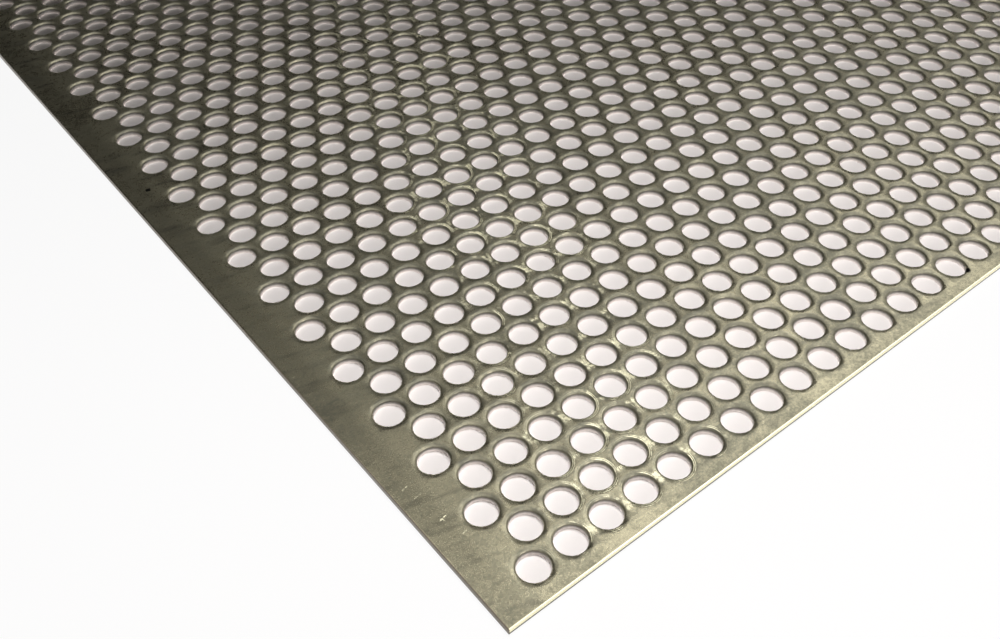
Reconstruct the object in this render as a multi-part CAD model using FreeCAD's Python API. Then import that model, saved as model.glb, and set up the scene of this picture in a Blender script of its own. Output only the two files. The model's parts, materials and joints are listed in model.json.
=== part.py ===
"""Perforated steel sheet: one piece of mild steel with round holes punched in staggered rows.

Millimetres, +Z up. The origin is the middle of the underside. +X runs along the rows of holes and
+Y runs across them. The sheet lies flat with its punch side up: there the metal was drawn down
around each hole, which leaves a rounded lip, and the shear rounded the top of the four sides.
"""
import FreeCAD, Part
import math
import os

# The blank, as sheared from stock.
SHEET_LENGTH = 250.0      # X, along the rows of holes
SHEET_WIDTH = 250.0       # Y, across the rows
SHEET_THICKNESS = 1.5
SHEAR_ROLLOVER = 0.30     # radius along the top of the four sides

# The punched pattern. Each second row is stepped along by half a pitch.
HOLE_DIAMETER = 6.0
HOLE_PITCH = 8.0          # between the centres of neighbouring holes
ROW_ANGLE = 60.0          # degrees, from a row to the nearest hole of the next row
PUNCH_ROLLOVER = 0.45     # radius of the lip around each hole
LEFT_MARGIN = 10.3        # left side to the first hole centre of an unstepped row
RIGHT_MARGIN = 10.3       # the least from the last hole centre of a stepped row to the right side
FRONT_MARGIN = 6.3        # front side to the hole centres of the first row
BACK_MARGIN = 6.3         # the least from the hole centres of the last row to the back side

# The parts of a wall that its roundings may take.
LIP_SHARE_OF_WEB = 0.45   # a lip, of the web between two holes
ROUND_SHARE_OF_EDGE = 0.5  # a rounding, of the sheet's thickness

OVERSHOOT = 1.0           # how far the punch tool reaches past both faces

# Worked out from the sizes above.
HOLE_RADIUS = HOLE_DIAMETER / 2
ROW_PITCH = HOLE_PITCH * math.sin(math.radians(ROW_ANGLE))
ROW_STEP = HOLE_PITCH * math.cos(math.radians(ROW_ANGLE))
WEB = HOLE_PITCH - HOLE_DIAMETER
LIP_RADIUS = min(PUNCH_ROLLOVER, WEB * LIP_SHARE_OF_WEB, SHEET_THICKNESS * ROUND_SHARE_OF_EDGE)
EDGE_RADIUS = min(SHEAR_ROLLOVER, SHEET_THICKNESS * ROUND_SHARE_OF_EDGE)
ROW_SPAN = SHEET_LENGTH - LEFT_MARGIN - RIGHT_MARGIN - ROW_STEP
HOLES_PER_ROW = int(ROW_SPAN // HOLE_PITCH) + 1
ROWS = int((SHEET_WIDTH - FRONT_MARGIN - BACK_MARGIN) // ROW_PITCH) + 1

UP = FreeCAD.Vector(0, 0, 1)
ORIGIN = FreeCAD.Vector(0, 0, 0)


def hole_centres():
    """Give the centre of every hole on the underside, row by row from the front."""
    centres = []
    for row in range(ROWS):
        step = ROW_STEP * (row % 2)
        y = -SHEET_WIDTH / 2 + FRONT_MARGIN + row * ROW_PITCH
        for place in range(HOLES_PER_ROW):
            x = -SHEET_LENGTH / 2 + LEFT_MARGIN + step + place * HOLE_PITCH
            centres.append(FreeCAD.Vector(x, y, 0))
    return centres


def sheared_blank():
    """Make the plain sheet, with the top of its four sides rounded by the shear."""
    corner = FreeCAD.Vector(-SHEET_LENGTH / 2, -SHEET_WIDTH / 2, 0)
    blank = Part.makeBox(SHEET_LENGTH, SHEET_WIDTH, SHEET_THICKNESS, corner)
    top_edges = [edge for edge in blank.Edges if edge.BoundBox.ZMin > SHEET_THICKNESS / 2]
    return blank.makeFillet(EDGE_RADIUS, top_edges)


def punch_tool():
    """Turn the shape that one hole removes: a straight bore that flares into the lip on top."""
    lip_bottom = SHEET_THICKNESS - LIP_RADIUS
    mouth_radius = HOLE_RADIUS + LIP_RADIUS
    tool_top = SHEET_THICKNESS + OVERSHOOT
    slant = math.radians(45)
    lip_middle = FreeCAD.Vector(
        HOLE_RADIUS + LIP_RADIUS * (1 - math.cos(slant)),
        0,
        lip_bottom + LIP_RADIUS * math.sin(slant),
    )
    axis_bottom = FreeCAD.Vector(0, 0, -OVERSHOOT)
    bore_bottom = FreeCAD.Vector(HOLE_RADIUS, 0, -OVERSHOOT)
    bore_top = FreeCAD.Vector(HOLE_RADIUS, 0, lip_bottom)
    mouth = FreeCAD.Vector(mouth_radius, 0, SHEET_THICKNESS)
    collar = FreeCAD.Vector(mouth_radius, 0, tool_top)
    axis_top = FreeCAD.Vector(0, 0, tool_top)
    outline = Part.Wire([
        Part.makeLine(axis_bottom, bore_bottom),
        Part.makeLine(bore_bottom, bore_top),
        Part.Arc(bore_top, lip_middle, mouth).toShape(),
        Part.makeLine(mouth, collar),
        Part.makeLine(collar, axis_top),
        Part.makeLine(axis_top, axis_bottom),
    ])
    return Part.Face(outline).revolve(ORIGIN, UP, 360)


def perforated_sheet():
    """Punch every hole of the pattern through the blank in one cut."""
    tool = punch_tool()
    punches = [tool.translated(centre) for centre in hole_centres()]
    return sheared_blank().cut(punches).Solids[0]


sheet = perforated_sheet()
os.makedirs("parts", exist_ok=True)
sheet.exportStep("parts/perforated_sheet.step")
print(f"{ROWS} rows of {HOLES_PER_ROW} holes, {len(sheet.Faces)} faces, {sheet.Volume:.1f} mm3")
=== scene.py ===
"""A perforated steel sheet lying flat on a pale floor: its mesh, its mill finish, the floor and lights.

Metres, +Z up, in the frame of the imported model. +X runs along the rows of holes, +Y across them, and
the side that the punch went in from faces up.
"""
import json
import logging
import math
from dataclasses import dataclass, field
from enum import Enum

import bmesh
import bpy
from mathutils import Matrix, Vector


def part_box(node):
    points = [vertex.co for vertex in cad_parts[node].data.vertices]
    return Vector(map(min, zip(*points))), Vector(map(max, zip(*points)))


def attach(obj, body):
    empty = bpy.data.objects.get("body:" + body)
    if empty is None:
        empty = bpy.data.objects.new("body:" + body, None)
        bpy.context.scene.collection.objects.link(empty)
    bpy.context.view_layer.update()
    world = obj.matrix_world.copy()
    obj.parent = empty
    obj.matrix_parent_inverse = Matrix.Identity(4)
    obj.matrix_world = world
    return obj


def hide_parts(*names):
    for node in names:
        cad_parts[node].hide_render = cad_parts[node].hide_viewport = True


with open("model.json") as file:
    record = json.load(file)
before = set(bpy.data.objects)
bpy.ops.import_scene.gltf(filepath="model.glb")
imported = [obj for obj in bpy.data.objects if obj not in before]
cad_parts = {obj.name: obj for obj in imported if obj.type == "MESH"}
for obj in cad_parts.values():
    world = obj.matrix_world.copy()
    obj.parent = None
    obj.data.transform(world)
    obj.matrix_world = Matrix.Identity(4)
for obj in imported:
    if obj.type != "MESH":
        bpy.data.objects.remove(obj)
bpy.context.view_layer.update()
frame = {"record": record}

LOG = logging.getLogger("perforated_sheet")

MM = 0.001
NODE = "perforated_sheet"
BODY = "root"

Socket = bpy.types.NodeSocket
Value = float | tuple[float, ...] | Socket


# ---------------------------------------------------------------------------------------------
# Working in edit mode
# ---------------------------------------------------------------------------------------------


def deselect_everything() -> None:
    """Leave no object selected, so that an operator acts only on what is picked next."""
    bpy.ops.object.select_all(action="DESELECT")


def make_active(piece: bpy.types.Object) -> None:
    """Select one object alone and make it the active one.

    Args:
        piece: The object to work on.
    """
    deselect_everything()
    piece.select_set(True)
    bpy.context.view_layer.objects.active = piece


def apply_modifiers(piece: bpy.types.Object) -> None:
    """Apply every modifier of a piece in order.

    Args:
        piece: The object whose modifiers are applied.
    """
    make_active(piece)
    for modifier in list(piece.modifiers):
        bpy.ops.object.modifier_apply(modifier=modifier.name)


def apply_place(piece: bpy.types.Object) -> None:
    """Put a piece's place, turn and scale into its mesh.

    Args:
        piece: The object that ends at the origin.
    """
    make_active(piece)
    bpy.ops.object.transform_apply(location=True, rotation=True, scale=True)


# ---------------------------------------------------------------------------------------------
# The sheet
# ---------------------------------------------------------------------------------------------


class Face(Enum):
    """The two flat faces of the sheet, by the way that they look."""

    PUNCH_SIDE = 1
    FAR_SIDE = -1


@dataclass
class HolePattern:
    """The staggered rows of holes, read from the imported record's outermost four holes."""

    holes_per_row: int = 29
    rows: int = 35
    lip_radius: float = 0.45 * MM
    hole_radius: float = field(init=False)
    pitch: float = field(init=False)
    row_pitch: float = field(init=False)
    first_hole: Vector = field(init=False)

    def __post_init__(self) -> None:
        """Work out the pitch, the row pitch and the place of the first hole."""
        mounts = {mount["name"]: mount for mount in frame["record"]["mounts"]}
        outer = mounts["outer_holes"]
        size_x = outer["dims"]["spacing_x_mm"] * MM
        size_y = outer["dims"]["spacing_y_mm"] * MM
        centre = outer["pos_m"]
        self.hole_radius = outer["dims"]["hole_r_mm"] * MM
        self.pitch = size_x / (self.holes_per_row - 1)
        self.row_pitch = size_y / (self.rows - 1)
        self.first_hole = Vector((centre[0] - size_x / 2, centre[1] - size_y / 2, 0))

    @property
    def step(self) -> float:
        """How far each second row is stepped along."""
        return self.pitch / 2

    @property
    def last_hole(self) -> Vector:
        """The centre that lies furthest along and across, on the box around all centres."""
        along = (self.holes_per_row - 1) * self.pitch + self.step
        return self.first_hole + Vector((along, (self.rows - 1) * self.row_pitch, 0))


@dataclass
class PerforatedSheet:
    """One closed mesh of the whole sheet: a cell around one hole, repeated, and the four margins."""

    pattern: HolePattern
    low: Vector
    high: Vector
    shear_rollover: float = 0.30 * MM
    hole_sides: int = 20
    rim_points: int = 12
    lip_steps: int = 2
    smooth_angle: float = math.radians(50)
    weld: float = 0.01 * MM

    @property
    def top(self) -> float:
        """The height of the punch side."""
        return self.high.z

    def build(self) -> bpy.types.Object:
        """Make the sheet's mesh.

        Returns:
            The finished object, at the origin.
        """
        field_of_holes = self.repeat(self.cell())
        for face in Face:
            self.close_margin(field_of_holes, face)
        self.close_sides(field_of_holes)
        self.finish(field_of_holes)
        return field_of_holes

    def cell(self) -> bpy.types.Object:
        """Model the metal around one hole: both faces, the lip and the bore.

        Returns:
            An open mesh with no outer sides, centred on the first hole.
        """
        mouth = self.pattern.hole_radius + self.pattern.lip_radius
        deselect_everything()
        bpy.ops.mesh.primitive_circle_add(
            vertices=self.hole_sides, radius=mouth, location=(0, 0, self.top)
        )
        cell = bpy.context.object
        cell.name = NODE
        apply_place(cell)
        bpy.ops.object.mode_set(mode="EDIT")
        bpy.ops.mesh.select_mode(type="EDGE")
        self.bridge_to_rim(cell, self.top)
        bpy.ops.mesh.primitive_circle_add(
            vertices=self.hole_sides, radius=self.pattern.hole_radius, location=(0, 0, self.low.z)
        )
        self.bridge_to_rim(cell, self.low.z)
        self.pick_mouth(cell)
        radius, height = mouth, self.top
        for lip_step in range(1, self.lip_steps + 1):
            turn = math.pi / 2 * lip_step / self.lip_steps
            next_radius = self.pattern.hole_radius + self.pattern.lip_radius * (1 - math.sin(turn))
            next_height = self.top - self.pattern.lip_radius * (1 - math.cos(turn))
            self.extrude_ring(next_height - height, next_radius / radius)
            radius, height = next_radius, next_height
        self.extrude_ring(self.low.z - height, 1)
        bpy.ops.mesh.select_all(action="SELECT")
        bpy.ops.mesh.remove_doubles(threshold=self.weld)
        bpy.ops.mesh.normals_make_consistent(inside=False)
        bpy.ops.object.mode_set(mode="OBJECT")
        cell.location = self.pattern.first_hole
        apply_place(cell)
        return cell

    def extrude_ring(self, drop: float, shrink: float) -> None:
        """Extrude the selected ring of edges down the hole and scale it about the hole's axis.

        Args:
            drop: How far the new ring moves along Z.
            shrink: The new ring's radius over the old one's.
        """
        bpy.ops.mesh.extrude_region_move(TRANSFORM_OT_translate={"value": (0, 0, drop)})
        bpy.ops.transform.resize(value=(shrink, shrink, 1))

    def pick_mouth(self, cell: bpy.types.Object) -> None:
        """Select the ring of edges where the lip meets the punch side.

        Args:
            cell: The cell, in edit mode.
        """
        mouth = self.pattern.hole_radius + self.pattern.lip_radius
        bpy.ops.mesh.select_all(action="DESELECT")
        shape = bmesh.from_edit_mesh(cell.data)
        for edge in shape.edges:
            on_ring = all(vert.co.xy.length < mouth + self.weld for vert in edge.verts)
            edge.select_set(on_ring and all(vert.co.z > self.top - self.weld for vert in edge.verts))
        bmesh.update_edit_mesh(cell.data)

    def bridge_to_rim(self, cell: bpy.types.Object, height: float) -> None:
        """Add the cell's rectangular rim on one face and fill from the hole's ring out to it.

        Args:
            cell: The cell, in edit mode, with the hole's ring at that height.
            height: The height of the face.
        """
        half_x = self.pattern.pitch / 2
        half_y = self.pattern.row_pitch / 2
        quarter = self.rim_points // 4
        bpy.ops.mesh.select_all(action="DESELECT")
        bpy.ops.mesh.primitive_circle_add(
            vertices=self.rim_points, radius=half_x * 2, location=(0, 0, height)
        )
        shape = bmesh.from_edit_mesh(cell.data)
        for vert in (vert for vert in shape.verts if vert.select):
            turns = math.atan2(abs(vert.co.y), abs(vert.co.x)) / math.tau
            place = round(turns * self.rim_points)
            x = half_x * min(1, (quarter - place) / (quarter - 1))
            y = half_y * min(1, place)
            vert.co = (math.copysign(x, vert.co.x), math.copysign(y, vert.co.y), height)
        bmesh.update_edit_mesh(cell.data)
        bpy.ops.mesh.select_all(action="DESELECT")
        shape = bmesh.from_edit_mesh(cell.data)
        for edge in shape.edges:
            edge.select_set(all(abs(vert.co.z - height) < self.weld for vert in edge.verts))
        bmesh.update_edit_mesh(cell.data)
        bpy.ops.mesh.bridge_edge_loops()

    def repeat(self, cell: bpy.types.Object) -> bpy.types.Object:
        """Copy the cell along a row, a pair of rows across the sheet, and weld the copies.

        Args:
            cell: The cell around the first hole.

        Returns:
            Every hole of the sheet in one mesh, open all round.
        """
        along = cell.modifiers.new("along_the_row", "ARRAY")
        along.count = self.pattern.holes_per_row
        along.use_relative_offset = False
        along.use_constant_offset = True
        along.constant_offset_displace = (self.pattern.pitch, 0, 0)
        apply_modifiers(cell)
        rows = [cell]
        for row in range(1, self.pattern.rows):
            copy = cell.copy()
            copy.data = cell.data.copy()
            bpy.context.collection.objects.link(copy)
            copy.location = (self.pattern.step * (row % 2), self.pattern.row_pitch * row, 0)
            rows.append(copy)
        deselect_everything()
        for row_of_cells in rows:
            row_of_cells.select_set(True)
        bpy.context.view_layer.objects.active = cell
        bpy.ops.object.join()
        bpy.ops.object.mode_set(mode="EDIT")
        bpy.ops.mesh.select_all(action="SELECT")
        bpy.ops.mesh.remove_doubles(threshold=self.weld)
        bpy.ops.object.mode_set(mode="OBJECT")
        return cell

    def close_margin(self, sheet: bpy.types.Object, face: Face) -> None:
        """Fill one flat face from the outermost cells out to the sheet's outline.

        Args:
            sheet: The field of holes.
            face: Which of the two flat faces to fill.
        """
        on_top = face is Face.PUNCH_SIDE
        height = self.top if on_top else self.low.z
        inset = self.shear_rollover if on_top else 0
        size = self.high - self.low
        bpy.ops.object.mode_set(mode="EDIT")
        bpy.ops.mesh.select_all(action="DESELECT")
        bpy.ops.mesh.primitive_plane_add(
            size=1, location=((self.low.x + self.high.x) / 2, (self.low.y + self.high.y) / 2, height)
        )
        bpy.ops.transform.resize(value=(size.x - 2 * inset, size.y - 2 * inset, 1))
        bpy.ops.mesh.delete(type="ONLY_FACE")
        shape = bmesh.from_edit_mesh(sheet.data)
        for edge in shape.edges:
            open_here = len(edge.link_faces) < 2
            flat_here = all(abs(vert.co.z - height) < self.weld for vert in edge.verts)
            edge.select_set(open_here and flat_here)
        bmesh.update_edit_mesh(sheet.data)
        bpy.ops.mesh.fill(use_beauty=True)
        bpy.ops.object.mode_set(mode="OBJECT")

    def close_sides(self, sheet: bpy.types.Object) -> None:
        """Roll the top of the four sides over and bring them down to the underside.

        Args:
            sheet: The sheet with both faces filled and its sides open.
        """
        bpy.ops.object.mode_set(mode="EDIT")
        bpy.ops.mesh.select_all(action="DESELECT")
        shape = bmesh.from_edit_mesh(sheet.data)
        for edge in shape.edges:
            rim = len(edge.link_faces) == 1
            edge.select_set(rim and all(vert.co.z > self.top - self.weld for vert in edge.verts))
        bmesh.update_edit_mesh(sheet.data)
        half = (self.high - self.low) / 2
        inset = self.shear_rollover
        for roll_step in range(1, self.lip_steps + 1):
            turn = math.pi / 2 * roll_step / self.lip_steps
            next_inset = self.shear_rollover * (1 - math.sin(turn))
            fall = self.shear_rollover * (1 - math.cos(turn))
            grow_x = (half.x - next_inset) / (half.x - inset)
            grow_y = (half.y - next_inset) / (half.y - inset)
            bpy.ops.mesh.extrude_region_move()
            bpy.ops.transform.resize(value=(grow_x, grow_y, 1))
            shape = bmesh.from_edit_mesh(sheet.data)
            for vert in (vert for vert in shape.verts if vert.select):
                vert.co.z = self.top - fall
            bmesh.update_edit_mesh(sheet.data)
            inset = next_inset
        bpy.ops.mesh.extrude_region_move()
        shape = bmesh.from_edit_mesh(sheet.data)
        for vert in (vert for vert in shape.verts if vert.select):
            vert.co.z = self.low.z
        bmesh.update_edit_mesh(sheet.data)
        bpy.ops.mesh.select_all(action="SELECT")
        bpy.ops.mesh.remove_doubles(threshold=self.weld)
        bpy.ops.mesh.normals_make_consistent(inside=False)
        bpy.ops.object.mode_set(mode="OBJECT")

    def finish(self, sheet: bpy.types.Object) -> None:
        """Smooth the lips and keep the faces flat.

        Args:
            sheet: The closed sheet.
        """
        make_active(sheet)
        bpy.ops.object.shade_smooth_by_angle(angle=self.smooth_angle)
        flatten = sheet.modifiers.new("flat_faces", "WEIGHTED_NORMAL")
        flatten.keep_sharp = True
        apply_modifiers(sheet)
        apply_place(sheet)


# ---------------------------------------------------------------------------------------------
# Finishes
# ---------------------------------------------------------------------------------------------


class NodePad:
    """Adds nodes to one tree and wires them together."""

    def __init__(self, tree: bpy.types.NodeTree) -> None:
        """Keep the tree and empty it.

        Args:
            tree: The material's or group's node tree.
        """
        self.tree = tree
        self.tree.nodes.clear()

    def wire(self, socket: Socket, value: Value) -> None:
        """Link a socket to another, or set it to a constant.

        Args:
            socket: The input socket.
            value: An output socket, a number or a vector.
        """
        if isinstance(value, bpy.types.NodeSocket):
            self.tree.links.new(value, socket)
        else:
            socket.default_value = value

    def node(self, kind: str, **settings: object) -> bpy.types.Node:
        """Add a node.

        Args:
            kind: The node's type name.
            settings: Properties to set on it.

        Returns:
            The new node.
        """
        node = self.tree.nodes.new(kind)
        for name, setting in settings.items():
            setattr(node, name, setting)
        return node

    def math(
        self, operation: str, first: Value, second: Value = 0.0, third: Value = 0.0
    ) -> Socket:
        """Add a Math node and return its result."""
        node = self.node("ShaderNodeMath", operation=operation)
        for socket, value in zip(node.inputs, (first, second, third)):
            self.wire(socket, value)
        return node.outputs[0]

    def vector(
        self, operation: str, first: Value, second: Value = (0, 0, 0), third: Value = (0, 0, 0)
    ) -> Socket:
        """Add a Vector Math node and return its vector, or its value for a length."""
        node = self.node("ShaderNodeVectorMath", operation=operation)
        for socket, value in zip(node.inputs, (first, second, third)):
            self.wire(socket, value)
        gives_number = operation in ("LENGTH", "DOT_PRODUCT")
        return node.outputs["Value"] if gives_number else node.outputs["Vector"]

    def ramp(
        self, value: Value, start: Value, end: Value, low: Value = 0.0, high: Value = 1.0
    ) -> Socket:
        """Map a value smoothly from one range onto another, and hold it at the ends."""
        node = self.node("ShaderNodeMapRange", interpolation_type="SMOOTHSTEP", clamp=True)
        names = ("Value", "From Min", "From Max", "To Min", "To Max")
        for name, setting in zip(names, (value, start, end, low, high)):
            self.wire(node.inputs[name], setting)
        return node.outputs["Result"]

    def noise(
        self,
        vector: Value,
        scale: Value,
        detail: float = 2.0,
        rough: float = 0.5,
        twist: float = 0.0,
    ) -> Socket:
        """Add a Noise Texture and return its value."""
        node = self.node("ShaderNodeTexNoise")
        self.wire(node.inputs["Vector"], vector)
        self.wire(node.inputs["Scale"], scale)
        node.inputs["Detail"].default_value = detail
        node.inputs["Roughness"].default_value = rough
        node.inputs["Distortion"].default_value = twist
        return node.outputs["Fac"]

    def mix(self, factor: Value, first: Value, second: Value, blend: str = "MIX") -> Socket:
        """Mix two colours and return the result."""
        node = self.node("ShaderNodeMix", data_type="RGBA", blend_type=blend, clamp_factor=True)
        self.wire(node.inputs[0], factor)
        self.wire(node.inputs[6], first)
        self.wire(node.inputs[7], second)
        return node.outputs[2]


def new_group(
    name: str, inputs: dict[str, str], outputs: dict[str, str]
) -> tuple[NodePad, bpy.types.Node, bpy.types.Node]:
    """Start a shader node group.

    Args:
        name: The group's name.
        inputs: Input names and their socket types.
        outputs: Output names and their socket types.

    Returns:
        The pad for its tree, its input node and its output node.
    """
    tree = bpy.data.node_groups.new(name, "ShaderNodeTree")
    for label, kind in inputs.items():
        tree.interface.new_socket(name=label, in_out="INPUT", socket_type=kind)
    for label, kind in outputs.items():
        tree.interface.new_socket(name=label, in_out="OUTPUT", socket_type=kind)
    pad = NodePad(tree)
    return pad, pad.node("NodeGroupInput"), pad.node("NodeGroupOutput")


VECTOR = "NodeSocketVector"
NUMBER = "NodeSocketFloat"


@dataclass(frozen=True)
class StreakKind:
    """Lines that run one way. The angle is in degrees from the rows, the sizes in millimetres."""

    angle: float
    width: float
    length: float
    share: float
    edge: float


DRAG_MARKS = StreakKind(angle=14.0, width=2.6, length=11.0, share=0.30, edge=0.34)
ROLLING_LINES = StreakKind(angle=-4.0, width=0.30, length=14.0, share=0.22, edge=0.25)
SCRATCHES = StreakKind(angle=-8.0, width=0.16, length=5.0, share=0.05, edge=0.12)
STREAK_CREST = 0.78

# The side of each hole where the painted shade is strongest, and the side that gets the painted glints,
# along and across.
FAR_SIDE = (0.6, 0.8)
GLINT_SIDE = (0.75, -0.65)

# How near the sheet's outline a point counts as cut, and where that is full, in millimetres.
CUT_START = 0.22
CUT_FULL = 0.10

# Millimetres on the punch side: the middle of the band where the glints are painted; the bright nicks,
# each with its place, its length and its angle from the rows in degrees; the black spots, with their
# radius.
GLINT_BAND = ((-89.0, -114.0), (-58.0, -20.0))
NICKS = (
    (-120.6, -101.9, 2.0, 14.0),
    (-120.9, -102.1, 1.0, -58.0),
    (-121.6, -95.6, 2.2, 8.0),
    (-122.2, -92.8, 1.6, 10.0),
    (-119.4, -106.4, 1.3, 14.0),
)
SPOTS = ((-120.0, 12.1, 0.7), (-1.4, -121.6, 0.9))


def punched_rims_group(pattern: HolePattern) -> bpy.types.NodeTree:
    """Measure how far a point lies from the wall of the nearest hole.

    Args:
        pattern: The rows of holes.

    Returns:
        A group that puts out the distance in millimetres, the way to the hole and a number that
        differs from hole to hole.
    """
    pad, given, result = new_group(
        "punched_rims",
        {"Vector": VECTOR},
        {"Distance": NUMBER, "Along": NUMBER, "Across": NUMBER, "Hole": NUMBER},
    )
    half_cell = (pattern.pitch / 2, pattern.row_pitch, 1.0)
    back = tuple(-size for size in half_cell)
    slack = pattern.pitch / 4
    low = pattern.first_hole
    high = pattern.last_hole
    found = []
    for step in (Vector((0, 0, 0)), Vector((pattern.step, pattern.row_pitch, 0))):
        moved = pad.vector("SUBTRACT", given.outputs["Vector"], tuple(low + step))
        flat = pad.vector("MULTIPLY", moved, (1, 1, 0))
        local = pad.vector("WRAP", flat, half_cell, back)
        centre = pad.vector("SUBTRACT", flat, local)
        parts = pad.node("ShaderNodeSeparateXYZ")
        pad.wire(parts.inputs[0], centre)
        beyond = [
            pad.math("LESS_THAN", parts.outputs["X"], -slack),
            pad.math("GREATER_THAN", parts.outputs["X"], high.x - low.x - pattern.step + slack),
            pad.math("LESS_THAN", parts.outputs["Y"], -slack),
            pad.math("GREATER_THAN", parts.outputs["Y"], high.y - low.y - step.y + slack),
        ]
        missing = beyond[0]
        for more in beyond[1:]:
            missing = pad.math("MAXIMUM", missing, more)
        reach = pad.vector("LENGTH", local)
        reach = pad.math("ADD", reach, missing)
        found.append((reach, local, centre))
    (near, near_local, near_centre), (other, other_local, other_centre) = found
    nearer = pad.math("LESS_THAN", other, near)
    reach = pad.math("MINIMUM", near, other)
    local = pad.mix(nearer, near_local, other_local)
    centre = pad.mix(nearer, near_centre, other_centre)
    way = pad.vector("NORMALIZE", local)
    ways = pad.node("ShaderNodeSeparateXYZ")
    pad.wire(ways.inputs[0], way)
    chance = pad.node("ShaderNodeTexWhiteNoise", noise_dimensions="3D")
    nudged = pad.vector("ADD", centre, (pattern.pitch / 4, pattern.row_pitch / 4, 0))
    snapped = pad.vector("SNAP", nudged, (pattern.step, pattern.row_pitch, 1))
    pad.wire(chance.inputs["Vector"], pad.vector("MULTIPLY", snapped, (1 / MM, 1 / MM, 0)))
    from_wall = pad.math("MULTIPLY", pad.math("SUBTRACT", reach, pattern.hole_radius), 1 / MM)
    pad.wire(result.inputs["Distance"], from_wall)
    pad.wire(result.inputs["Along"], ways.outputs["X"])
    pad.wire(result.inputs["Across"], ways.outputs["Y"])
    pad.wire(result.inputs["Hole"], chance.outputs["Value"])
    return pad.tree


def streaks_group() -> bpy.types.NodeTree:
    """Fine lines that run one way, as rolling and handling leave them.

    Returns:
        A group that puts out the lines' strength, from 0 to 1.
    """
    pad, given, result = new_group(
        "streaks",
        {"Vector": VECTOR} | dict.fromkeys(("Angle", "Width", "Length", "Share", "Edge"), NUMBER),
        {"Lines": NUMBER},
    )
    turned = pad.node("ShaderNodeVectorRotate", rotation_type="Z_AXIS")
    pad.wire(turned.inputs["Vector"], given.outputs["Vector"])
    pad.wire(turned.inputs["Angle"], given.outputs["Angle"])
    size = pad.node("ShaderNodeCombineXYZ")
    pad.wire(size.inputs["X"], pad.math("DIVIDE", 1.0, given.outputs["Length"]))
    pad.wire(size.inputs["Y"], pad.math("DIVIDE", 1.0, given.outputs["Width"]))
    pad.wire(size.inputs["Z"], pad.math("DIVIDE", 1.0, given.outputs["Length"]))
    stretched = pad.vector("MULTIPLY", turned.outputs["Vector"], size.outputs["Vector"])
    lines = pad.noise(stretched, 1.0, rough=0.6, twist=0.15)
    start = pad.math("SUBTRACT", STREAK_CREST, given.outputs["Share"])
    end = pad.math("ADD", start, given.outputs["Edge"])
    pad.wire(result.inputs["Lines"], pad.ramp(lines, start, end))
    return pad.tree


def clouds_group() -> bpy.types.NodeTree:
    """Soft uneven patches, as an oiled and handled sheet has.

    Returns:
        A group that puts out a value around a half.
    """
    pad, given, result = new_group("clouds", {"Vector": VECTOR, "Scale": NUMBER}, {"Value": NUMBER})
    wide = pad.noise(given.outputs["Vector"], given.outputs["Scale"], detail=4.0, rough=0.6, twist=0.6)
    pad.wire(result.inputs["Value"], pad.ramp(wide, 0.28, 0.72))
    return pad.tree


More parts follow.
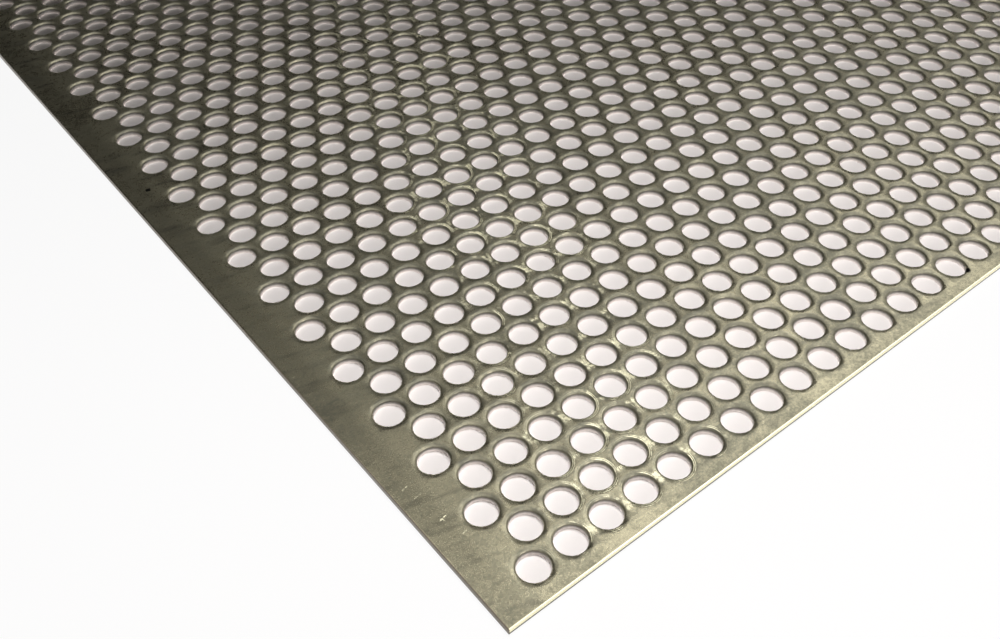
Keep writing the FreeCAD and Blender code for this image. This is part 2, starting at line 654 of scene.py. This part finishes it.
@dataclass(frozen=True)
class MillSteel:
    """Bare mild steel as rolled: olive grey, cloudy, with fine streaks, painted glints at the lips and
    webs, and painted shade around the holes.
    """

    warm: tuple[float, float, float, float] = (0.37, 0.337, 0.228, 1)
    cool: tuple[float, float, float, float] = (0.172, 0.164, 0.118, 1)
    field_gain: tuple[float, float, float, float] = (1.34, 1.34, 1.34, 1)
    # Real stains and drag marks, and also the painted shade of the rings and of the sheared sides' lower
    # part.
    stain_and_shade: tuple[float, float, float, float] = (0.10, 0.096, 0.074, 1)
    # The real nicks and scratches, and also the painted glints and the painted highlight on the sheared
    # sides.
    bright: tuple[float, float, float, float] = (0.97, 0.91, 0.63, 1)
    # The bore's painted light at its foot and painted shade at its top.
    bore_foot_painted_light: tuple[float, float, float, float] = (0.84, 0.79, 0.76, 1)
    bore_top_painted_shade: tuple[float, float, float, float] = (0.13, 0.125, 0.11, 1)
    soot: tuple[float, float, float, float] = (0.012, 0.011, 0.010, 1)
    slit: tuple[float, float, float, float] = (0.15, 0.125, 0.09, 1)
    metallic: float = 0.90
    roughness: float = 0.31
    cloud_scales: tuple[float, float, float, float] = (26.0, 150.0, 900.0, 2600.0)
    bump_strength: float = 0.55
    bump_depth: float = 0.16 * MM

    def material(self, pattern: HolePattern, low: Vector, high: Vector) -> bpy.types.Material:
        """Make the finish.

        Args:
            pattern: The rows of holes, which the marks of the punch follow.
            low: The sheet's lowest corner.
            high: The sheet's highest corner.

        Returns:
            The material.
        """
        steel = bpy.data.materials.new("mill_steel")
        steel.use_nodes = True
        pad = NodePad(steel.node_tree)
        place = pad.node("ShaderNodeTexCoord").outputs["Object"]
        rims = self.placed(pad, punched_rims_group(pattern), Vector=place)
        clouds = clouds_group()
        streaks = streaks_group()
        broad, small, fine, grain = (
            self.placed(pad, clouds, Vector=place, Scale=scale).outputs["Value"]
            for scale in self.cloud_scales
        )
        drag = self.lines(pad, streaks, place, DRAG_MARKS)
        rolled = self.lines(pad, streaks, place, ROLLING_LINES)
        scratch = self.lines(pad, streaks, place, SCRATCHES)
        distance = rims.outputs["Distance"]

        tone = pad.math("MULTIPLY_ADD", small, 0.16, pad.math("MULTIPLY", broad, 0.31))
        tone = pad.math("MULTIPLY_ADD", fine, 0.24, tone)
        tone = pad.math("MULTIPLY_ADD", grain, 0.29, tone)
        tone = pad.ramp(tone, 0.19, 0.81)
        colour = pad.mix(tone, self.cool, self.warm)
        colour = pad.mix(pad.math("MULTIPLY", drag, 0.72), colour, self.stain_and_shade)
        colour = pad.mix(pad.math("MULTIPLY", rolled, 0.36), colour, self.warm)

        colour = pad.mix(self.field_mask(pad, place, pattern), colour, self.field_gain, "MULTIPLY")
        # Painted shade: a dark ring around each hole, strongest on its far side, in the stain and shade
        # colour.
        ring = self.painted_shade_ring_mask(pad, rims, small)
        colour = pad.mix(ring, colour, self.stain_and_shade)
        # Painted highlights: glints on the lips and webs, in a band across the sheet.
        glint_area = self.painted_glint_band(pad, place)
        arc = self.painted_glint_mask(pad, rims, place, glint_area)
        colour = pad.mix(arc, colour, self.bright)
        colour = pad.mix(pad.math("MULTIPLY", scratch, 0.75), colour, self.bright)
        nicks = self.nick_mask(pad, place)
        colour = pad.mix(nicks, colour, self.bright)
        colour = pad.mix(self.spot_mask(pad, place), colour, self.soot)
        # The painted glints and the nicks are made less metallic, so that the lamps light them bright.
        shine = pad.math("MAXIMUM", arc, nicks)
        colour = self.cut_sides(pad, colour, place, distance, low, high)

        roughness = pad.ramp(tone, 0.0, 1.0, self.roughness + 0.08, self.roughness - 0.06)
        roughness = pad.math("SUBTRACT", roughness, pad.math("MULTIPLY", arc, 0.15))
        roughness = pad.math("ADD", roughness, pad.math("MULTIPLY", ring, 0.12))

        relief = pad.math("MULTIPLY", pad.ramp(distance, 0.0, 1.1), 0.9)
        relief = pad.math("MULTIPLY_ADD", small, 0.10, relief)
        relief = pad.math("MULTIPLY_ADD", fine, 0.04, relief)
        relief = pad.math("MULTIPLY_ADD", rolled, 0.035, relief)
        relief = pad.math("MULTIPLY_ADD", scratch, -0.05, relief)
        bump = pad.node("ShaderNodeBump")
        bump.inputs["Strength"].default_value = self.bump_strength
        bump.inputs["Distance"].default_value = self.bump_depth
        pad.wire(bump.inputs["Height"], relief)

        shader = pad.node("ShaderNodeBsdfPrincipled")
        pad.wire(shader.inputs["Metallic"], pad.math("MULTIPLY_ADD", shine, -0.6, self.metallic))
        pad.wire(shader.inputs["Base Color"], colour)
        pad.wire(shader.inputs["Roughness"], roughness)
        pad.wire(shader.inputs["Normal"], bump.outputs["Normal"])
        output = pad.node("ShaderNodeOutputMaterial")
        pad.wire(output.inputs["Surface"], shader.outputs["BSDF"])
        return steel

    def lines(
        self, pad: NodePad, streaks: bpy.types.NodeTree, place: Socket, kind: StreakKind
    ) -> Socket:
        """Place one kind of streak.

        Args:
            pad: The material's pad.
            streaks: The streaks group.
            place: Object coordinates.
            kind: How the lines run.

        Returns:
            The lines' strength, from 0 to 1.
        """
        group = self.placed(
            pad,
            streaks,
            Vector=place,
            Angle=math.radians(kind.angle),
            Width=kind.width * MM,
            Length=kind.length * MM,
            Share=kind.share,
            Edge=kind.edge,
        )
        return group.outputs["Lines"]

    def field_mask(self, pad: NodePad, place: Socket, pattern: HolePattern) -> Socket:
        """The field of holes, whose colour is made lighter than the plain margins.

        Args:
            pad: The material's pad.
            place: Object coordinates.
            pattern: The rows of holes.

        Returns:
            The field's strength, from 0 to 1, with a soft edge.
        """
        middle = (pattern.first_hole + pattern.last_hole) / 2
        half = (pattern.last_hole - pattern.first_hole) / 2
        away = pad.vector("ABSOLUTE", pad.vector("SUBTRACT", place, (middle.x, middle.y, 0)))
        parts = pad.node("ShaderNodeSeparateXYZ")
        pad.wire(parts.inputs[0], away)
        start = pattern.hole_radius
        end = start + pattern.pitch / 2
        in_x = pad.ramp(parts.outputs["X"], half.x + start, half.x + end, 1.0, 0.0)
        in_y = pad.ramp(parts.outputs["Y"], half.y + start, half.y + end, 1.0, 0.0)
        return pad.math("MULTIPLY", in_x, in_y)

    @staticmethod
    def facing(pad: NodePad, rims: bpy.types.Node, way: tuple[float, float]) -> Socket:
        """How far a point lies on one side of its hole, from -1 to 1."""
        along = pad.math("MULTIPLY", rims.outputs["Along"], way[0])
        return pad.math("MULTIPLY_ADD", rims.outputs["Across"], way[1], along)

    def painted_shade_ring_mask(self, pad: NodePad, rims: bpy.types.Node, patches: Socket) -> Socket:
        """Painted shade: a dark ring just outside each lip, strongest on its far side.

        Args:
            pad: The material's pad.
            rims: The placed punched_rims group.
            patches: A soft pattern that makes the rings uneven.

        Returns:
            The ring's strength, from 0 to 1.
        """
        distance = rims.outputs["Distance"]
        far_side = self.facing(pad, rims, FAR_SIDE)
        lip = pad.ramp(distance, 0.20, 0.85, 0.60, 0.0)
        lip = pad.math("MULTIPLY", lip, pad.ramp(far_side, -0.7, 0.6, 0.35, 1.0))
        skirt = pad.ramp(distance, 0.45, 1.50, 0.95, 0.0)
        skirt = pad.math("MULTIPLY", skirt, pad.ramp(far_side, -0.5, 0.8, 0.15, 1.0))
        ring = pad.math("MAXIMUM", lip, skirt)
        return pad.math("MULTIPLY", ring, pad.ramp(patches, 0.0, 1.0, 0.55, 0.95))

    def cut_sides(
        self, pad: NodePad, colour: Socket, place: Socket, distance: Socket, low: Vector, high: Vector
    ) -> Socket:
        """Colour the bores and the four sides, which the tools cut through the sheet: painted shade at
        the top of each bore and painted light at its foot, a painted highlight over a darker lower part
        on the sheared sides, and a darker colour on the slit sides.
            place: Object coordinates.
            distance: The distance from the nearest bore, in millimetres.
            low: The sheet's lowest corner.
            high: The sheet's highest corner.

        Returns:
            The colour with its cut sides.
        """
        parts = pad.node("ShaderNodeSeparateXYZ")
        pad.wire(parts.inputs[0], place)
        x, y, z = (pad.math("MULTIPLY", parts.outputs[axis], 1 / MM) for axis in "XYZ")
        top = high.z / MM
        deep = pad.ramp(z, top - 0.60, top - 0.15, 1.0, 0.0)
        inside = pad.math("MULTIPLY", deep, pad.math("LESS_THAN", distance, 0.2))
        # Painted shade at the top of each bore and painted light at its foot.
        bore = pad.mix(pad.ramp(z, 0.0, top - 0.35), self.bore_foot_painted_light, self.bore_top_painted_shade)
        colour = pad.mix(inside, colour, bore)
        middle_y, half_y = (low.y + high.y) / 2 / MM, (high.y - low.y) / 2 / MM
        middle_x, half_x = (low.x + high.x) / 2 / MM, (high.x - low.x) / 2 / MM
        out_y = pad.math("ABSOLUTE", pad.math("SUBTRACT", y, middle_y))
        out_x = pad.math("ABSOLUTE", pad.math("SUBTRACT", x, middle_x))
        sheared = pad.ramp(out_y, half_y - CUT_START, half_y - CUT_FULL)
        slit = pad.ramp(out_x, half_x - CUT_START, half_x - CUT_FULL)
        # Painted highlight on the upper part of the sheared sides, over a darker lower part that is
        # partly burr and partly painted shade.
        torn = pad.ramp(z, 0.30, 0.55, 1.0, 0.0)
        cut = pad.mix(torn, self.bright, self.stain_and_shade)
        colour = pad.mix(sheared, colour, cut)
        return pad.mix(slit, colour, self.slit)

    def painted_glint_band(self, pad: NodePad, place: Socket) -> Socket:
        """A band across the sheet where glints are painted on the lips and webs.

        Args:
            pad: The material's pad.
            place: Object coordinates.

        Returns:
            The band's strength, from 0 to 1.
        """
        start, end = Vector(GLINT_BAND[0]) * MM, Vector(GLINT_BAND[1]) * MM
        across = (end - start).orthogonal().normalized()
        moved = pad.vector("SUBTRACT", place, (start.x, start.y, 0))
        off = pad.math("ABSOLUTE", pad.vector("DOT_PRODUCT", moved, (across.x, across.y, 0)))
        ragged = pad.math("MULTIPLY_ADD", pad.noise(place, 60.0), 22 * MM, off)
        return pad.ramp(ragged, 17 * MM, 33 * MM, 1.0, 0.08)

    def painted_glint_mask(self, pad: NodePad, rims: bpy.types.Node, place: Socket, glint_area: Socket) -> Socket:
        """Painted highlights: thin bright arcs and glints on the rims and the webs of some holes.

        Args:
            pad: The material's pad.
            rims: The placed punched_rims group.
            place: Object coordinates.
            glint_area: The band where the glints are painted.

        Returns:
            The arcs' strength, from 0 to 1.
        """
        distance = rims.outputs["Distance"]
        wobble = pad.math("MULTIPLY_ADD", pad.noise(place, 260.0), 0.16, distance)
        total: Socket | float = 0.0
        for middle, width in ((0.50, 0.13), (0.82, 0.11)):
            off = pad.math("ABSOLUTE", pad.math("SUBTRACT", wobble, middle))
            line = pad.math("SUBTRACT", 1.0, pad.ramp(off, width * 0.3, width))
            total = pad.math("MAXIMUM", line, total)
        patchy = pad.ramp(pad.noise(place, 230.0), 0.42, 0.56)
        chosen = pad.ramp(rims.outputs["Hole"], 0.15, 0.65, 0.0, 1.0)
        one_side = pad.ramp(self.facing(pad, rims, GLINT_SIDE), -0.35, 0.5, 0.10, 1.0)
        arcs = pad.math("MULTIPLY", pad.math("MULTIPLY", total, patchy), chosen)
        arcs = pad.math("MULTIPLY", arcs, one_side)
        web = pad.ramp(pad.math("ABSOLUTE", rims.outputs["Along"]), 0.80, 0.98)
        web = pad.math("MULTIPLY", web, pad.ramp(distance, 0.30, 0.70))
        web = pad.math("MULTIPLY", web, pad.ramp(distance, 0.95, 1.30, 1.0, 0.0))
        web = pad.math("MULTIPLY", web, pad.ramp(pad.noise(place, 420.0), 0.40, 0.66, 0.0, 0.8))
        glints = pad.math("MULTIPLY", pad.math("MAXIMUM", arcs, web), glint_area)
        broken = pad.ramp(pad.noise(place, 1700.0, detail=3.0), 0.32, 0.60, 0.45, 2.4)
        return pad.math("MINIMUM", pad.math("MULTIPLY", glints, broken), 1.0)

    def nick_mask(self, pad: NodePad, place: Socket) -> Socket:
        """The few short bright nicks that handling left in the margin.

        Args:
            pad: The material's pad.
            place: Object coordinates.

        Returns:
            The nicks' strength, from 0 to 1.
        """
        total: Socket | float = 0.0
        for x, y, length, angle in NICKS:
            moved = pad.vector("SUBTRACT", place, (x * MM, y * MM, 0))
            turned = pad.node("ShaderNodeVectorRotate", rotation_type="Z_AXIS")
            pad.wire(turned.inputs["Vector"], moved)
            turned.inputs["Angle"].default_value = -math.radians(angle)
            parts = pad.node("ShaderNodeSeparateXYZ")
            pad.wire(parts.inputs[0], turned.outputs["Vector"])
            along = pad.math("ABSOLUTE", parts.outputs["X"])
            aside = pad.math("ABSOLUTE", parts.outputs["Y"])
            stroke = pad.math(
                "MULTIPLY",
                pad.ramp(along, length * 0.3 * MM, length * 0.5 * MM, 1.0, 0.0),
                pad.ramp(aside, 0.05 * MM, 0.16 * MM, 1.0, 0.0),
            )
            total = pad.math("MAXIMUM", stroke, total)
        ragged = pad.ramp(pad.noise(place, 1500.0), 0.35, 0.60, 0.0, 0.85)
        return pad.math("MULTIPLY", total, ragged)

    def spot_mask(self, pad: NodePad, place: Socket) -> Socket:
        """The few small black spots: a burr at one hole and a speck in the margin.

        Args:
            pad: The material's pad.
            place: Object coordinates.

        Returns:
            The spots' strength, from 0 to 1.
        """
        total: Socket | float = 0.0
        uneven = pad.math("MULTIPLY_ADD", pad.noise(place, 1400.0), 0.6 * MM, -0.3 * MM)
        for x, y, radius in SPOTS:
            moved = pad.vector("MULTIPLY", pad.vector("SUBTRACT", place, (x * MM, y * MM, 0)), (1, 1, 0))
            reach = pad.math("ADD", pad.vector("LENGTH", moved), uneven)
            total = pad.math("MAXIMUM", pad.ramp(reach, radius * 0.6 * MM, radius * MM, 1.0, 0.0), total)
        return total

    @staticmethod
    def placed(pad: NodePad, group: bpy.types.NodeTree, **values: Value) -> bpy.types.Node:
        """Place a group in a material and set its inputs.

        Args:
            pad: The material's pad.
            group: The node group.
            values: Input names and what they take.

        Returns:
            The group's node.
        """
        node = pad.node("ShaderNodeGroup", node_tree=group)
        for name, value in values.items():
            pad.wire(node.inputs[name], value)
        return node


@dataclass(frozen=True)
class PaleFloor:
    """A matt white floor. Clear of the sheet it shows as white, apart from a share of its shading."""

    colour: tuple[float, float, float, float] = (0.90, 0.845, 0.82, 1)
    glow: float = 0.92
    soft_edge: float = 1.5 * MM

    def material(self, low: Vector, high: Vector) -> bpy.types.Material:
        """Make the finish.

        Args:
            low: The lowest corner of the sheet that lies on the floor.
            high: The sheet's highest corner.

        Returns:
            The material.
        """
        paper = bpy.data.materials.new("pale_floor")
        paper.use_nodes = True
        pad = NodePad(paper.node_tree)
        matt = pad.node("ShaderNodeBsdfDiffuse")
        matt.inputs["Color"].default_value = self.colour
        white = pad.node("ShaderNodeEmission")
        white.inputs["Color"].default_value = (1, 1, 1, 1)
        place = pad.node("ShaderNodeTexCoord").outputs["Object"]
        from_middle = pad.vector("ABSOLUTE", pad.vector("SUBTRACT", place, tuple((low + high) / 2)))
        parts = pad.node("ShaderNodeSeparateXYZ")
        pad.wire(parts.inputs[0], from_middle)
        half = (high - low) / 2
        beyond_x = pad.ramp(parts.outputs["X"], half.x - self.soft_edge, half.x)
        beyond_y = pad.ramp(parts.outputs["Y"], half.y - self.soft_edge, half.y)
        clear = pad.math("MAXIMUM", beyond_x, beyond_y)
        seen = pad.node("ShaderNodeLightPath")
        direct = pad.math("MAXIMUM", seen.outputs["Is Camera Ray"], seen.outputs["Is Glossy Ray"])
        direct = pad.math("MAXIMUM", direct, seen.outputs["Is Transmission Ray"])
        share = pad.math("MULTIPLY", pad.math("MULTIPLY", direct, self.glow), clear)
        blend = pad.node("ShaderNodeMixShader")
        pad.wire(blend.inputs[0], share)
        pad.wire(blend.inputs[1], matt.outputs["BSDF"])
        pad.wire(blend.inputs[2], white.outputs["Emission"])
        output = pad.node("ShaderNodeOutputMaterial")
        pad.wire(output.inputs["Surface"], blend.outputs["Shader"])
        return paper


# ---------------------------------------------------------------------------------------------
# Floor, lights and camera
# ---------------------------------------------------------------------------------------------


class Reach(Enum):
    """Which surfaces a lamp lights."""

    MATT = "matt"
    GLOSS = "gloss"
    BOTH = "both"


@dataclass(frozen=True)
class Lamp:
    """A square soft lamp: its place, the point that it faces, its side and its watts."""

    name: str
    place: Vector
    aim: Vector
    size: float
    power: float
    reach: Reach


LAMPS = (
    Lamp(
        name="key",
        place=Vector((-0.058, -0.083, 0.295)),
        aim=Vector((-0.220, -0.574, 0)),
        size=0.16,
        power=1.38,
        reach=Reach.MATT,
    ),
    Lamp(
        name="front_gloss",
        place=Vector((0.165, -0.112, 0.334)),
        aim=Vector((-0.065, -0.140, 0)),
        size=0.36,
        power=0.48,
        reach=Reach.GLOSS,
    ),
    Lamp(
        name="fill",
        place=Vector((0.000, -0.200, 0.900)),
        aim=Vector((0, 0, 0)),
        size=0.90,
        power=0.22,
        reach=Reach.MATT,
    ),
    Lamp(
        name="low_front",
        place=Vector((-0.020, -0.550, 0.150)),
        aim=Vector((-0.100, -0.125, 0)),
        size=0.20,
        power=0.75,
        reach=Reach.BOTH,
    ),
)


@dataclass
class Studio:
    """A pale floor, soft lamps and the camera."""

    low: Vector
    high: Vector
    floor_size: float = 6.0
    dome_axis: tuple[float, float, float] = (-0.04, -0.62, 0.80)
    horizon: float = 0.0
    zenith: float = 1.95
    skyline_top: float = 0.24
    camera_place: tuple[float, float, float] = (-0.17516, -0.19109, 0.15521)
    camera_aim: tuple[float, float] = (-0.08406, -0.07141)
    camera_roll: float = math.radians(-1.753)
    lens: float = 38.94
    skyline: float = 0.45

    def build(self) -> None:
        """Make the floor, the world, the lamps and the camera."""
        self.lay_floor()
        self.light_world()
        for lamp in LAMPS:
            self.hang_lamp(lamp)
        self.set_camera()

    def lay_floor(self) -> None:
        """Lay the floor at the sheet's underside."""
        deselect_everything()
        bpy.ops.mesh.primitive_plane_add(size=self.floor_size, location=(0, 0, self.low.z))
        floor = bpy.context.object
        floor.name = "floor"
        apply_place(floor)
        floor.data.materials.append(PaleFloor().material(self.low, self.high))

    def light_world(self) -> None:
        """Hang a soft dome for the metal to reflect, brightest overhead and in front, on white."""
        world = bpy.data.worlds.new("soft_white")
        bpy.context.scene.world = world
        world.use_nodes = True
        world.cycles_visibility.diffuse = False
        pad = NodePad(world.node_tree)
        way = pad.node("ShaderNodeTexCoord").outputs["Generated"]
        towards_axis = pad.vector("DOT_PRODUCT", way, tuple(Vector(self.dome_axis).normalized()))
        dome = pad.ramp(towards_axis, 0.0, 1.0, self.horizon, self.zenith)
        heights = pad.node("ShaderNodeSeparateXYZ")
        pad.wire(heights.inputs[0], way)
        skyline = pad.ramp(heights.outputs["Z"], 0.0, self.skyline_top, self.skyline, 0.0)
        dome = pad.math("ADD", dome, skyline)
        seen = pad.node("ShaderNodeLightPath")
        to_camera = pad.math("SUBTRACT", 1.0, dome)
        sky = pad.node("ShaderNodeBackground")
        sky.inputs["Color"].default_value = (1, 1, 1, 1)
        pad.wire(
            sky.inputs["Strength"],
            pad.math("MULTIPLY_ADD", seen.outputs["Is Camera Ray"], to_camera, dome),
        )
        output = pad.node("ShaderNodeOutputWorld")
        pad.wire(output.inputs["Surface"], sky.outputs["Background"])

    def hang_lamp(self, lamp: Lamp) -> None:
        """Hang one lamp.

        Args:
            lamp: Its place and size, and what it lights.
        """
        light = bpy.data.lights.new(lamp.name, "AREA")
        light.shape = "SQUARE"
        light.size = lamp.size
        light.energy = lamp.power
        hung = bpy.data.objects.new(lamp.name, light)
        bpy.context.collection.objects.link(hung)
        hung.location = lamp.place
        hung.rotation_euler = (lamp.aim - lamp.place).to_track_quat("-Z", "Y").to_euler()
        hung.visible_diffuse = lamp.reach is not Reach.GLOSS
        hung.visible_glossy = lamp.reach is not Reach.MATT

    def set_camera(self) -> None:
        """Look down on the near left corner from in front of it."""
        camera_data = bpy.data.cameras.new("camera")
        camera_data.sensor_width = 36.0
        camera_data.lens = self.lens
        camera_data.clip_start = 0.01
        camera = bpy.data.objects.new("camera", camera_data)
        bpy.context.collection.objects.link(camera)
        place = Vector(self.camera_place)
        aim = Vector((*self.camera_aim, self.high.z))
        facing = (aim - place).to_track_quat("-Z", "Y").to_matrix().to_4x4()
        roll = Matrix.Rotation(self.camera_roll, 4, "Z")
        camera.matrix_world = Matrix.Translation(place) @ facing @ roll
        bpy.context.scene.camera = camera


def main() -> None:
    """Build the sheet, dress it, and set the floor, the lamps and the camera."""
    logging.basicConfig(level=logging.INFO, format="%(name)s: %(message)s")
    low, high = (Vector(corner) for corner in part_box(NODE))
    pattern = HolePattern()
    sheet = PerforatedSheet(pattern, low, high).build()
    sheet.data.materials.clear()
    sheet.data.materials.append(MillSteel().material(pattern, low, high))
    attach(sheet, BODY)
    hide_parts(NODE)
    LOG.info("%s: %d faces", sheet.name, len(sheet.data.polygons))
    Studio(low, high).build()
    bpy.context.scene.view_settings.view_transform = "Standard"


if __name__ == "__main__":
    main()
